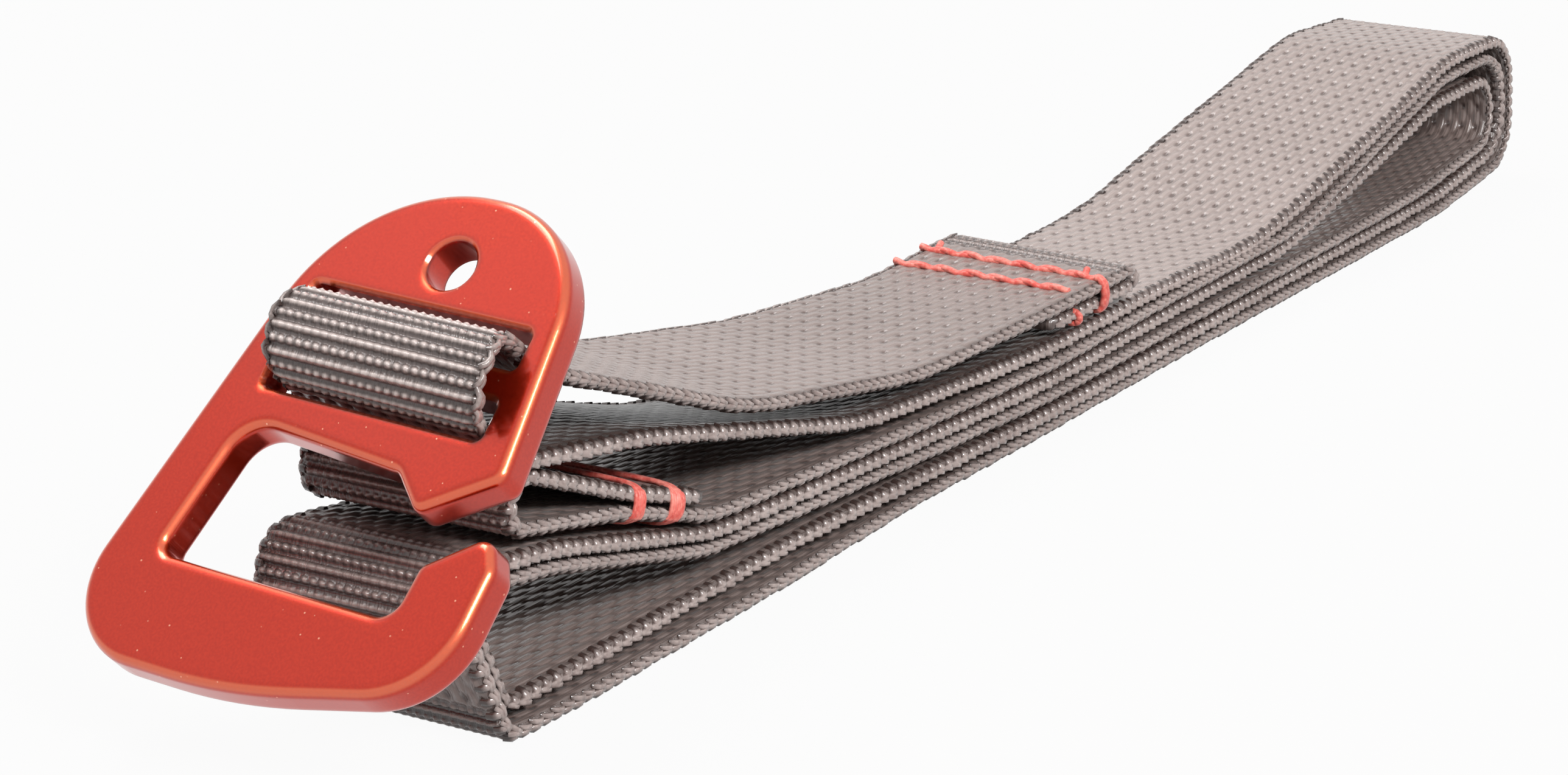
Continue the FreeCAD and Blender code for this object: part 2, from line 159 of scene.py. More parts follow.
# how the strap leans where it lies loose: at a length, how far its far edge stands above its near
# edge, and how far its middle is raised
top_start, under_bar, ramp_start = at[TAIL_FOLD], at[BAR_UNDER], at[SECOND_MIDDLE]
lean_lengths, lean_rises, lean_lifts = zip(
    # the tail and the top layer
    (0, 0.4, 0.2), (top_start + 4, 0.4, 0.2), (top_start + 12, 0, 0), (top_start + 20, 0, 0),
    (top_start + 28, 0.8, 0.45), (top_start + 40, 1.75, 1.0), (top_start + 64, 1.8, 1.1),
    (top_start + 80, 1.5, 1.0), (at[BAR_BACK] - 6, 0.2, 0.1), (at[BAR_BACK], 0, 0),
    # the second layer, away from the bar
    (under_bar + 8, 0, 0), (under_bar + 24, -1.2, -0.6), (under_bar + 39, -2.0, -1.0),
    (under_bar + 44, -1.9, -0.95), (under_bar + 49, -1.4, -0.7), (under_bar + 56, -0.8, -0.4),
    (under_bar + 66, -0.2, -0.1), (under_bar + 76, 0, 0),
    # its slope up to the far fold
    (ramp_start + 20, 0, 0), (ramp_start + 34, 0.6, 0), (ramp_start + 50, 1.8, 0),
    (ramp_start + 60, 2.0, 0), (ramp_start + 76, 1.6, 0), (ramp_start + 89, 1.1, 0),
    (ramp_start + 100, 0.2, 0), (ramp_start + 106, 0, 0))
# how far the bottom layer has slid sideways before the near fold
near_corner = at[NEAR_FOLD_LOW]
slide_lengths, slides = zip(
    (near_corner - 64, 0), (near_corner - 50, -0.75), (near_corner - 38, -1.25),
    (near_corner - 15, -1.2), (near_corner, -0.9), (near_corner + 8, 0))
# over the bar the strap is pressed wider, by this share, where it is clear of the slots, and sits
# this much nearer the near edge
BAR_SPREAD = 0.045
BAR_SHIFT = 0.35


def between(s, lengths, values, reach):
    """Value at length s from a short table, with its corners softened."""
    return sum(np.interp(s + k, lengths, values) for k in (-reach, 0, reach)) / 3


def place(s):
    """Middle, direction, face normal, width direction, and bend of the strap at lengths s."""
    s = np.asarray(s, float)
    x, z = np.interp(s, reached, line[:, 0]), np.interp(s, reached, line[:, 1])
    along = np.column_stack(
        [np.interp(s, reached, heading[:, 0]), 0 * s, np.interp(s, reached, heading[:, 1])])
    along /= np.linalg.norm(along, axis=1)[:, None]
    near_bar = ease(60, 0, np.maximum(at[BAR_BACK] - s, s - at[BAR_UNDER]))
    lean = between(s, lean_lengths, lean_rises, 3)
    across = np.array([0, 1.0, 0]) + near_bar[:, None] * (buckle_axis - np.array([0, 1.0, 0]))
    across[:, 2] += lean / WEBBING_WIDTH
    across /= np.linalg.norm(across, axis=1)[:, None]
    face = np.cross(across, along)
    face /= np.linalg.norm(face, axis=1)[:, None]
    on_bar = ease(0, 3, np.minimum(s - at[BAR_BACK] - 5.2, at[BAR_UNDER] - 6.2 - s))
    across *= 1 + BAR_SPREAD * on_bar[:, None]
    # the edges of a stack never line up: two slow waves along the whole strap
    drift = (1 - near_bar) * (0.28 * np.sin(s / 37 + 0.6) + 0.16 * np.sin(s / 13.7 + 2.1))
    drift += between(s, slide_lengths, slides, 4)
    drift -= BAR_SHIFT * on_bar
    middle = np.column_stack([x, tape_middle + drift, z + between(s, lean_lengths, lean_lifts, 3)])
    return middle, along, face, across, np.interp(s, reached, bending)


# stretches that show a face get woven relief on that face: first and last length, and columns
# on the upper (buckle) face and on the other face
PLAIN, WOVEN, CLOSE = 12, 64, 80
shown = [
    (at[TAIL_FOLD] - 2, at[BAR_BACK] - 4, WOVEN, PLAIN),
    (at[BAR_BACK] - 4, at[BAR_UNDER] + 2, CLOSE, PLAIN),
    (at[SECOND_MIDDLE] + 14, at[FAR_FOLD_LOW] - 12, PLAIN, WOVEN),
    (at[NEAR_FOLD_LOW] - 3, at[NEAR_FOLD_END], PLAIN, CLOSE),
    (at[LOOP_RAMP] + 7, at[LOOP_SEAM] - 3, PLAIN, CLOSE),
]

# cross sections are closer where the cloth is bent, and in step with the weave where it shows
stations = []
s = 0.0
while s < tape_length - 0.2:
    columns = max([max(first, second) for low, high, first, second in shown if low <= s <= high], default=0)
    tight = abs(float(np.interp(s, reached, turning)))
    step = min(2 * ROW, max(0.3, 0.22 / max(tight, 1e-6)))
    if columns:
        step = RIDGE / 4 if columns == CLOSE else ROW / 4
        s = round(s / step) * step
    if not stations or s > stations[-1] + 0.05:
        stations.append(s)
    s += step
stations.append(tape_length)
stations = np.array(stations)

# half the width of the cloth proper, up to the loops of its edges, and the depth of its relief
EDGE = 9.7
RELIEF = 0.2
middle, along, face, across, bend = place(stations)


def woven_face(k, upper):
    """One face at station k: places across it, heights over the middle, and how ridged it is."""
    s = stations[k]
    columns, strength = PLAIN, 0.0
    for low, high, first, second in shown:
        wanted = first if upper else second
        if low <= s <= high and wanted > columns:
            columns = wanted
            strength = float(ease(0, 3, min(s - low, high - s)))
    v = np.linspace(-EDGE + 0.25, EDGE - 0.25, columns + 1)
    v = np.concatenate([[-EDGE + 0.08], v, [EDGE - 0.08]])
    ridge = float(ease(0.03, 0.16, bend[k] if upper else -bend[k]))
    # laid flat, warp columns go over and under the rows in turn, and every second one stands out
    column_wave = np.cos(math.pi * (v / COLUMN + (0 if upper else 1)))
    over = 0.5 + 0.5 * math.cos(math.pi * s / ROW) * column_wave
    every_second = 0.76 + 0.24 * column_wave
    groove = np.sin(math.pi * v / COLUMN) ** 4
    flat_lift = (1 - (1 - over) ** 2.2 * every_second) * (1 - 0.25 * groove)
    # bent outwards, the rows part into ridges, and every second ridge is smooth
    odd = int(round(s / RIDGE)) % 2
    crest = math.cos(math.pi * s / RIDGE) ** 2
    beads = 0.5 + 0.5 * np.cos(2 * math.pi * v / COLUMN + math.pi * odd)
    fold_lift = crest ** 0.7 * (0.6 + 0.25 * odd + (0.4 - 0.25 * odd) * beads)
    lift = (1 - ridge) * flat_lift + ridge * fold_lift
    depth = RELIEF + RELIEF * ridge
    height = WEBBING_THICK / 2 - depth * (1 - lift) * strength - depth * 0.35 * (1 - strength)
    height = height * np.sqrt(1 - 0.8 * np.clip(np.abs(v) - EDGE + 1.0, 0, 1) ** 3)
    return v, height, np.full(len(v), ridge)


points, lengths, widths, ridges = [], [], [], []
upper_rows, lower_rows = [], []


def add_points(k, v, height, ridge):
    """Adds points at station k, with what is known of each, and gives their numbers."""
    first = len(points)
    for value, high, edge in zip(v, height, ridge):
        points.append(middle[k] + across[k] * value + face[k] * high)
        lengths.append(stations[k])
        widths.append(value)
        ridges.append(edge)
    return list(range(first, len(points)))


for k in range(len(stations)):
    left, = add_points(k, [-EDGE], [0.0], [0.0])
    right, = add_points(k, [EDGE], [0.0], [0.0])
    for face_rows, upper, side in ((upper_rows, True, 1), (lower_rows, False, -1)):
        v, height, ridge = woven_face(k, upper)
        face_rows.append([left] + add_points(k, v, side * height, ridge) + [right])


def join_rows(first, second):
    """Faces between two rows of points that run the same way across the strap."""
    if len(first) == len(second):
        return [(a, c, d, b) for a, b, c, d in zip(first, first[1:], second, second[1:])]
    faces = []
    i = j = 0
    while i < len(first) - 1 or j < len(second) - 1:
        if j == len(second) - 1 or (i < len(first) - 1 and widths[first[i + 1]] <= widths[second[j + 1]]):
            faces.append((first[i], second[j], first[i + 1]))
            i += 1
        else:
            faces.append((first[i], second[j], second[j + 1]))
            j += 1
    return faces


upper_faces, lower_faces = [], []
for first, second in zip(upper_rows, upper_rows[1:]):
    upper_faces += join_rows(first, second)
for first, second in zip(lower_rows, lower_rows[1:]):
    lower_faces += [f[::-1] for f in join_rows(first, second)]


def cut_end(upper, lower, flip):
    """Faces that close the strap at one of its ends."""
    faces = []
    i = j = 0
    while i < len(upper) - 1 or j < len(lower) - 1:
        if j == len(lower) - 1 or (i < len(upper) - 1 and widths[upper[i + 1]] <= widths[lower[j + 1]]):
            tri = (upper[i], upper[i + 1], lower[j])
            i += 1
        else:
            tri = (upper[i], lower[j + 1], lower[j])
            j += 1
        if len(set(tri)) == 3:
            faces.append(tri[::-1] if flip else tri)
    return faces


end_faces = cut_end(upper_rows[0], lower_rows[0], False) + cut_end(upper_rows[-1], lower_rows[-1], True)
points = np.array(points)


def faces_outwards(faces):
    """Whether the faces of a closed shape point outwards, from the sign of the room inside."""
    total = 0.0
    for f in faces:
        for b, c in zip(f[1:], f[2:]):
            total += np.dot(points[f[0]], np.cross(points[b], points[c]))
    return total > 0


webbing_mesh = bpy.data.meshes.new("webbing_strap")
all_faces = upper_faces + lower_faces + end_faces
if not faces_outwards(all_faces):
    all_faces = [f[::-1] for f in all_faces]
webbing_mesh.from_pydata(points * MM, [], all_faces)
corner_of = np.empty(len(webbing_mesh.loops), int)
webbing_mesh.loops.foreach_get("vertex_index", corner_of)
face_sizes = np.empty(len(webbing_mesh.polygons), int)
webbing_mesh.polygons.foreach_get("loop_total", face_sizes)
lower_face = np.arange(len(all_faces)) >= len(upper_faces)
column_shift = np.repeat(lower_face, face_sizes) * COLUMN
lengths, widths = np.array(lengths), np.array(widths)
cloth = np.column_stack([lengths[corner_of], widths[corner_of] + column_shift]) * MM
webbing_mesh.uv_layers.new(name="cloth").data.foreach_set("uv", cloth.ravel())


def mark(name, values):
    """Keeps a number for each point of the webbing, for its material to read."""
    webbing_mesh.attributes.new(name, "FLOAT", "POINT").data.foreach_set("value", values)


# how far each point is bent outwards, and how near it is to the loops of an edge, where the cloth gets
# painted shade
mark("fold", np.array(ridges, float))
mark("rim_painted_light", ease(9.0, 9.55, np.abs(widths)))
# painted light: the yarn over the bar, and a little on the slope to the far fold, is coloured lighter, as
# if it caught more light and sheen
mark("painted_light", np.interp(lengths, [
    at[BAR_BACK] - 4, at[BAR_BACK] - 1, at[BAR_UNDER] - 2, at[BAR_UNDER] + 3,
    at[SECOND_MIDDLE] + 8, at[SECOND_MIDDLE] + 16, at[FAR_FOLD], at[FAR_FOLD] + 6,
], [0, 1, 1, 0, 0, 0.3, 0.3, 0]))
# painted shade: the faces that look at each other between the top two layers are coloured dark, where
# little light reaches them
under_face = np.zeros(len(points))
under_face[[i for row in lower_rows for i in row[1:-1]]] = 1
mark("inside", under_face * ease(
    0, 12, np.minimum(lengths - at[TOP_RUN] + 4, at[SECOND_MIDDLE] + 12 - lengths)))
webbing_mesh.polygons.foreach_set("use_smooth", np.ones(len(all_faces), bool))
webbing_mesh.update()
webbing = bpy.data.objects.new("webbing_strap", webbing_mesh)
bpy.context.scene.collection.objects.link(webbing)


def add_node(tree, kind, settings=None, values=None):
    """A new node of this kind, with its settings and the values or links of its sockets."""
    made = tree.nodes.new(kind)
    for name, value in (settings or {}).items():
        setattr(made, name, value)
    for name, value in (values or {}).items():
        if isinstance(value, Signal):
            value = value.socket
        if isinstance(value, bpy.types.NodeSocket):
            tree.links.new(value, made.inputs[name])
        else:
            made.inputs[name].default_value = value
    return made


class Signal:
    """A socket in a material that takes plain arithmetic, one Math node for each step."""

    def __init__(self, socket):
        self.socket = socket

    def node(self, kind, settings=None, values=None, out=0):
        """Adds a node of this kind, sets it up, and gives one of its outputs."""
        return Signal(add_node(self.socket.id_data, kind, settings, values).outputs[out])

    def maths(self, operation, *others):
        """This and the others through one Math node."""
        return self.node("ShaderNodeMath", {"operation": operation}, dict(enumerate((self,) + others)))

    def __add__(self, other):
        return self.maths("ADD", other)

    def __mul__(self, other):
        return self.maths("MULTIPLY", other)

    def __sub__(self, other):
        return self.maths("SUBTRACT", other)

    def __rsub__(self, other):
        return (self * -1.0) + other

    def __truediv__(self, other):
        return self.maths("DIVIDE", other)

    def __pow__(self, other):
        return self.maths("POWER", other)

    __radd__ = __add__
    __rmul__ = __mul__

    def ease(self, low, high):
        """0 below low and 1 above high, with a soft step between."""
        return self.node("ShaderNodeMapRange", {"interpolation_type": "SMOOTHSTEP"},
                         {"Value": self, "From Min": low, "From Max": high})

    def blend(self, first, second):
        """Colour that goes from first to second as this goes from 0 to 1."""
        return self.node("ShaderNodeMix", {"data_type": "RGBA"}, {0: self, 6: first, 7: second}, 2)

    def bump(self, strength, distance, **others):
        """Normal with this as its relief, distance in metres."""
        return self.node("ShaderNodeBump", values={
            "Strength": strength, "Distance": distance, "Height": self, **others})

    def noise(self, scale, detail):
        """Noise over this place."""
        return self.node("ShaderNodeTexNoise", values={"Vector": self, "Scale": scale, "Detail": detail})

    def marked(self, name):
        """The number that the mesh keeps under this name."""
        return self.node("ShaderNodeAttribute", {"attribute_name": name}, out=2)


def new_material(name, **constants):
    """A material, the Principled shader's constants set, with the shader and its coordinates."""
    material = bpy.data.materials.new(name)
    material.use_nodes = True
    shader = material.node_tree.nodes["Principled BSDF"]
    for socket, value in constants.items():
        shader.inputs[socket.replace("_", " ")].default_value = value
    where = material.node_tree.nodes.new("ShaderNodeTexCoord")
    return material, shader, Signal(where.outputs["Object"]), Signal(where.outputs["UV"])


def feed(shader, socket, signal):
    """Links a signal to one socket of a shader."""
    shader.id_data.links.new(signal.socket, shader.inputs[socket])


def colour(red, green, blue):
    return (red, green, blue, 1.0)


webbing_material, shader, spot, cloth_uv = new_material(
    "woven_webbing", Specular_IOR_Level=0.75, Sheen_Weight=0.08, Sheen_Roughness=0.4)
# the same weave as in the mesh, along (u) and across (v) the strap
u = cloth_uv.node("ShaderNodeSeparateXYZ", values={0: cloth_uv})
v = Signal(u.socket.node.outputs[1])
fold_weight = cloth_uv.marked("fold")
rows = (u * (math.pi / (ROW * MM))).maths("COSINE")
columns = (v * (math.pi / (COLUMN * MM))).maths("COSINE")
over = rows * columns * 0.5 + 0.5
groove = (1.0 - columns * columns) ** 2.0
flat_lift = (1.0 - (1.0 - over) ** 2.2 * (columns * 0.24 + 0.76)) * (1.0 - groove * 0.3)
picks = (u * (math.pi / (RIDGE * MM))).maths("COSINE")
odd = (u / (2 * RIDGE * MM) + 0.25).maths("FRACT").maths("GREATER_THAN", 0.5)
bead = (v * (2 * math.pi / (COLUMN * MM)) + odd * math.pi).maths("COSINE") * 0.5 + 0.5
fold_lift = picks * picks * (bead * (0.6 - odd * 0.35) + (odd * 0.35 + 0.4))
lift = flat_lift + fold_weight * (fold_lift - flat_lift)
fibres = cloth_uv.node("ShaderNodeCombineXYZ", values={0: u * 260.0, 1: v * 5200.0}).noise(1.0, 2.0)
patch = spot.noise(60.0, 3.0)
# painted shade: the pits and valleys of the weave are coloured dark, darker and redder where the cloth is
# folded
shade = lift.ease(0.2, 0.8)
shadow = fold_weight.blend(colour(0.09, 0.058, 0.05), colour(0.022, 0.009, 0.007))
tint = shade.blend(shadow, colour(0.228, 0.174, 0.158))
lighter = (fibres * 0.5 + patch * 0.5).ease(0.35, 0.7)
tint = (lighter * 0.35).blend(tint, colour(0.35, 0.28, 0.26))
# painted light over the bar and on the slope to the far fold, strongest on the raised weave
tint = (cloth_uv.marked("painted_light") * shade).blend(tint, colour(0.56, 0.47, 0.44))
# painted shade between the top two layers
tint = (cloth_uv.marked("inside") * 0.8).blend(tint, colour(0.03, 0.014, 0.011))
# painted shade along each edge, under the loops of the selvage
tint = (cloth_uv.marked("rim_painted_light") * 0.7).blend(tint, colour(0.075, 0.052, 0.046))
feed(shader, "Base Color", tint)
feed(shader, "Roughness", 0.48 - fibres * 0.36)
feed(shader, "Normal", (lift + fibres * 0.3).bump(0.9, 0.00032))
webbing_mesh.materials.append(webbing_material)
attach(webbing, "strap")
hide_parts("webbing")

# ---------------------------------------------------------------- selvages
# Both edges of the webbing are finished by the weft turning back at every row: a rib goes round the
# edge from the under face, and a catch thread is looped through it as a chain beside the upper face.
rows_at = np.arange(ROW, tape_length - ROW / 2, ROW)
# how far from the strap's middle the loops are rooted
LOOP_ROOT = 9.5


def edge_points(name, side):
    """Loose points along one edge, each with the directions of its loop."""
    middle, along, face, across, _ = place(rows_at)
    mesh = bpy.data.meshes.new(name)
    mesh.from_pydata((middle + across * side * LOOP_ROOT) * MM, [], [])
    for label, values in (("along", along * -side), ("face", face)):
        layer = mesh.attributes.new(label, "FLOAT_VECTOR", "POINT")
        layer.data.foreach_set("vector", values.astype(np.float32).ravel())
    thing = bpy.data.objects.new(name, mesh)
    bpy.context.scene.collection.objects.link(thing)
    return thing


def new_tree(name, numbers, material):
    """A node tree with points in, a mesh out, named numbers and a material, and its two end nodes."""
    tree = bpy.data.node_groups.new(name, "GeometryNodeTree")
    sockets = tree.interface
    sockets.new_socket("Geometry", in_out="INPUT", socket_type="NodeSocketGeometry")
    for label, value in numbers.items():
        sockets.new_socket(label, in_out="INPUT", socket_type="NodeSocketFloat").default_value = value
    sockets.new_socket(material, in_out="INPUT", socket_type="NodeSocketMaterial")
    sockets.new_socket("Geometry", in_out="OUTPUT", socket_type="NodeSocketGeometry")
    return tree, tree.nodes.new("NodeGroupInput"), tree.nodes.new("NodeGroupOutput")


def loop_tree(strands):
    """Node tree that sets one edge loop on each point: a rib and the two legs of a chain stitch."""
    tree, given, result = new_tree(
        "edge_loops", {"Rib radius": 0.00038, "Chain radius": 0.00025, "Unevenness": 0.1}, "Yarn")

    def add(kind, settings=None, values=None):
        return add_node(tree, kind, settings, values)

    joined = add("GeometryNodeJoinGeometry")
    for label, sides, pieces, ends in strands:
        path = add("GeometryNodeCurvePrimitiveBezierSegment", {"mode": "POSITION"}, {
            "Resolution": pieces, "Start": ends[0], "Start Handle": ends[1],
            "End Handle": ends[2], "End": ends[3]})
        ring = add("GeometryNodeCurvePrimitiveCircle", {"mode": "RADIUS"}, {
            "Resolution": sides, "Radius": given.outputs[label]})
        tube = add("GeometryNodeCurveToMesh", values={
            "Curve": path.outputs[0], "Profile Curve": ring.outputs[0], "Fill Caps": True})
        tree.links.new(tube.outputs[0], joined.inputs[0])
    smooth = add("GeometryNodeSetShadeSmooth", values={"Geometry": joined.outputs[0]})
    # each point of a loop keeps how far out it stands, so that its inner side can be given painted shade
    position = add("GeometryNodeInputPosition")
    parts = add("ShaderNodeSeparateXYZ", values={0: position.outputs[0]})
    marked = add("GeometryNodeStoreNamedAttribute", {"data_type": "FLOAT", "domain": "POINT"}, {
        "Geometry": smooth.outputs[0], "Name": "outward", "Value": parts.outputs[1]})
    along = add("GeometryNodeInputNamedAttribute", {"data_type": "FLOAT_VECTOR"}, {"Name": "along"})
    face = add("GeometryNodeInputNamedAttribute", {"data_type": "FLOAT_VECTOR"}, {"Name": "face"})
    turn = add("FunctionNodeAxesToRotation", {"primary_axis": "Z", "secondary_axis": "X"}, {
        "Primary Axis": face.outputs[0], "Secondary Axis": along.outputs[0]})
    low = add("ShaderNodeMath", {"operation": "SUBTRACT"}, {0: 1.0, 1: given.outputs["Unevenness"]})
    high = add("ShaderNodeMath", {"operation": "ADD"}, {0: 1.0, 1: given.outputs["Unevenness"]})
    size = add("FunctionNodeRandomValue", {"data_type": "FLOAT"}, {"Seed": 7})
    tree.links.new(low.outputs[0], size.inputs[2])
    tree.links.new(high.outputs[0], size.inputs[3])
    laid = add("GeometryNodeInstanceOnPoints", values={
        "Points": given.outputs["Geometry"], "Instance": marked.outputs[0],
        "Rotation": turn.outputs[0], "Scale": size.outputs[1]})
    real = add("GeometryNodeRealizeInstances", values={"Geometry": laid.outputs[0]})
    done = add("GeometryNodeSetMaterial", values={
        "Geometry": real.outputs[0], "Material": given.outputs["Yarn"]})
    tree.links.new(done.outputs[0], result.inputs[0])
    return tree


def millimetres(*places):
    """Places given in millimetres, in metres."""
    return [tuple(c * MM for c in p) for p in places]


# each strand: its radius, its sides, its pieces along, and its start, two handles and end, as
# places along the edge, out from it and up
edge_loop_tree = loop_tree([
    ("Rib radius", 6, 4, millimetres(
        (0, -0.45, -0.4), (0, 0.2, -0.42), (0, 0.45, 0.0), (0, -0.05, 0.3))),
    ("Chain radius", 5, 3, millimetres(
        (-0.8, 0.1, 0.12), (-0.3, 0.62, 0.12), (0.3, 0.52, 0.34), (0.6, 0.0, 0.44))),
    ("Chain radius", 5, 3, millimetres(
        (-0.8, 0.1, 0.12), (-0.3, 0.55, 0.05), (0.3, 0.45, -0.05), (0.6, 0.1, -0.15))),
])


def lay(points_object, tree, values):
    """Runs a node tree on an object and keeps what it makes as a plain mesh."""
    modifier = points_object.modifiers.new("laid", "NODES")
    modifier.node_group = tree
    for item in tree.interface.items_tree:
        if item.item_type == "SOCKET" and item.in_out == "INPUT" and item.name in values:
            modifier[item.identifier] = values[item.name]
    evaluated = points_object.evaluated_get(bpy.context.evaluated_depsgraph_get())
    mesh = bpy.data.meshes.new_from_object(evaluated)
    points_object.modifiers.remove(modifier)
    points_object.data = mesh
    mesh.name = points_object.name
    return points_object


yarn_material, shader, spot, _ = new_material("selvage_yarn", Specular_IOR_Level=0.75, Sheen_Weight=0.08)
grain = spot.noise(2600.0, 2.0)
broad = spot.noise(90.0, 2.0)
yarn_tint = (grain * 0.6 + broad * 0.4).ease(0.3, 0.7).blend(
    colour(0.23, 0.172, 0.157), colour(0.44, 0.36, 0.335))
# painted shade: the inner side of each loop, in among the loops, is coloured dark
outer = spot.marked("outward").ease(0.0, 0.00048)
feed(shader, "Base Color", outer.blend(colour(0.045, 0.026, 0.022), yarn_tint))
feed(shader, "Roughness", 0.42 - grain * 0.32)
feed(shader, "Normal", grain.bump(0.5, 0.00008))
for name, side in (("selvage_near", -1), ("selvage_far", 1)):
    selvage = lay(edge_points(name, side), edge_loop_tree, {"Yarn": yarn_material})
    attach(selvage, "strap")
    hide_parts("webbing")

# ---------------------------------------------------------------- hook buckle
# A flat plate of aluminium, blanked and tumbled, bead blasted and anodised orange-red: two slots with
# the bar between them, a round hole through the crown, and an open mouth with its hook.
anodised, shader, spot, _ = new_material(
    "anodised_plate", Metallic=0.85, Coat_Roughness=0.12, Coat_IOR=1.6)
blast = spot.noise(5000.0, 2.0)
# painted glints: a few bright specks of colour in the blasted face stand in for its sparkle
cells = spot.node("ShaderNodeTexVoronoi", {"feature": "F1"}, {"Vector": spot, "Scale": 2500.0})
chance = cells.node("ShaderNodeSeparateColor", values={0: Signal(cells.socket.node.outputs["Color"])})
painted_glint = (1.0 - cells.ease(0.12, 0.26)) * chance.ease(0.965, 0.975)
base = blast.ease(0.3, 0.7).blend(colour(0.48, 0.020, 0.004), colour(0.53, 0.027, 0.006))
# the tumbled rims of the upper face are rounder and glossier, and their colour is made lighter and yellower
# as a painted highlight where the lamps catch them
tumbled = spot.node("ShaderNodeBevel", {"samples": 8}, {"Radius": 0.0007})
plate_face = (-0.722, 0.03, 0.691)
facing = tumbled.node("ShaderNodeVectorMath", {"operation": "DOT_PRODUCT"}, {0: tumbled, 1: plate_face}, 1)
rim_painted_light = facing.ease(0.25, 0.6) * (1.0 - facing).ease(0.02, 0.1)
# painted highlight on the rims of the upper face
base = (rim_painted_light * 0.45).blend(base, colour(0.88, 0.2, 0.065))
# painted glints over the colour
feed(shader, "Base Color", (painted_glint * 0.7).blend(base, colour(0.95, 0.45, 0.3)))
feed(shader, "Coat Weight", rim_painted_light * 0.45 + 0.5)
feed(shader, "Roughness", blast * 0.06 + 0.2)
feed(shader, "Normal", blast.bump(0.12, 0.00002, Normal=tumbled))
buckle = frame["nodes"]["hook_buckle"]
for holder in buckle.material_slots:
    holder.material = anodised

# ---------------------------------------------------------------- sewing thread
# Soft coral polyester thread. Two rows lock the folded tail stop, and two tacks of several turns
# close the loop; all four go round the near edge of the webbing.
thread_material, shader, spot, _ = new_material(
    "coral_thread", Specular_IOR_Level=0.5, Sheen_Weight=0.15)
twist = spot.noise(2600.0, 3.0)
worn = spot.noise(420.0, 1.0)
feed(shader, "Base Color", (twist * 0.55 + worn * 0.45).ease(0.36, 0.66).blend(
    colour(0.68, 0.085, 0.065), colour(0.9, 0.28, 0.225)))
feed(shader, "Roughness", 0.6 - twist * 0.3)
feed(shader, "Normal", twist.bump(0.6, 0.0001))


def thread_tree():
    """Node tree that turns strings of points into threads, closed at their ends."""
    tree, given, result = new_tree("sewn_thread", {"Ply radius": 0.00025}, "Thread")
    path = add_node(tree, "GeometryNodeMeshToCurve", values={0: given.outputs["Geometry"]})
    ring = add_node(tree, "GeometryNodeCurvePrimitiveCircle", values={
        "Resolution": 7, "Radius": given.outputs["Ply radius"]})
    tube = add_node(tree, "GeometryNodeCurveToMesh", values={
        "Curve": path.outputs[0], "Profile Curve": ring.outputs[0], "Fill Caps": True})
    smooth = add_node(tree, "GeometryNodeSetShadeSmooth", values={0: tube.outputs[0]})
    real = add_node(tree, "GeometryNodeRealizeInstances", values={0: smooth.outputs[0]})
    dyed = add_node(tree, "GeometryNodeSetMaterial", values={
        0: real.outputs[0], "Material": given.outputs["Thread"]})
    tree.links.new(dyed.outputs[0], result.inputs[0])
    return tree


sewn_thread_tree = thread_tree()


def sew(name, node, strings, radius):
    """A piece of thread along open or closed strings of points in millimetres."""
    points, edges = [], []
    for string, closed in strings:
        first = len(points)
        points.extend(string)
        edges.extend((first + k, first + k + 1) for k in range(len(string) - 1))
        if closed:
            edges.append((len(points) - 1, first))
    mesh = bpy.data.meshes.new(name)
    mesh.from_pydata([tuple(p * MM) for p in points], edges, [])
    thing = bpy.data.objects.new(name, mesh)
    bpy.context.scene.collection.objects.link(thing)
    lay(thing, sewn_thread_tree, {"Ply radius": radius * MM, "Thread": thread_material})
    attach(thing, "strap")
    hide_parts(node)


def length_at(box, low, high):
    """Length along the strap, between two lengths, where the middle of a box lies."""
    x = (box[0][0] + box[1][0]) / 2 / MM
    s = np.linspace(low, high, 400)
    return s[np.argmin(np.abs(np.interp(s, reached, line[:, 0]) - x))]


def from_strap(s, forward, out, up):
    """Points near the strap at length s: forward along it, out across it, up from its face."""
    middle, along, face, across, _ = place([s])
    return middle[0] + np.outer(forward, along[0]) + np.outer(out, across[0]) + np.outer(up, face[0])


# rows across the tail: two plies laid round each other, drawn into the cloth at every stitch
STITCH = 2.9
tail_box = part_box("tail_stitch_outer")
outer_row_at = length_at(tail_box, at[TAIL_FOLD], at[TOP_RUN])
inner_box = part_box("tail_stitch_inner")
inner_row_at = length_at(inner_box, at[TAIL_FOLD], at[TOP_RUN])


def stitched_line(s, start, end, high):
    """Two plies across the upper face from start to end."""
    strings = []
    out = np.linspace(start, end, 90)
    pull = np.abs(np.cos(math.pi * out / STITCH)) ** 6
    sway = 0.10 * np.sin(out * 1.3 + s)
    for ply in (0.0, math.pi):
        turn = 2 * math.pi * out / (2 * STITCH) + ply
        forward = 0.12 * np.cos(turn) * (1 - 0.5 * pull) + sway
        up = high + 0.08 * np.sin(turn) - 0.2 * pull
        strings.append((from_strap(s, forward, out, up), False))
    return strings


def nib(s, forward, out, up, lean):
    """A short cut end of thread standing up."""
    k = np.linspace(0, 1, 6)
    return (from_strap(s, forward + lean * k, out + 0.15 * k, up + 0.6 * k - 0.2 * k * k), False)


def over_edge(s, spread, high, low, half):
    """Plies from the upper face round the near edge to the face below."""
    strings = []
    t = np.linspace(0, math.pi, 26)
    for offset in spread:
        up = (high + low) / 2 + (high - low) / 2 * np.cos(t)
        out = -half + 0.9 - 1.0 * np.sin(t) ** 0.7
        forward = offset * (0.6 + 0.4 * np.sin(t)) + 0.04 * np.sin(9 * t + offset * 40)
        strings.append((from_strap(s, forward, out, up), False))
    return strings


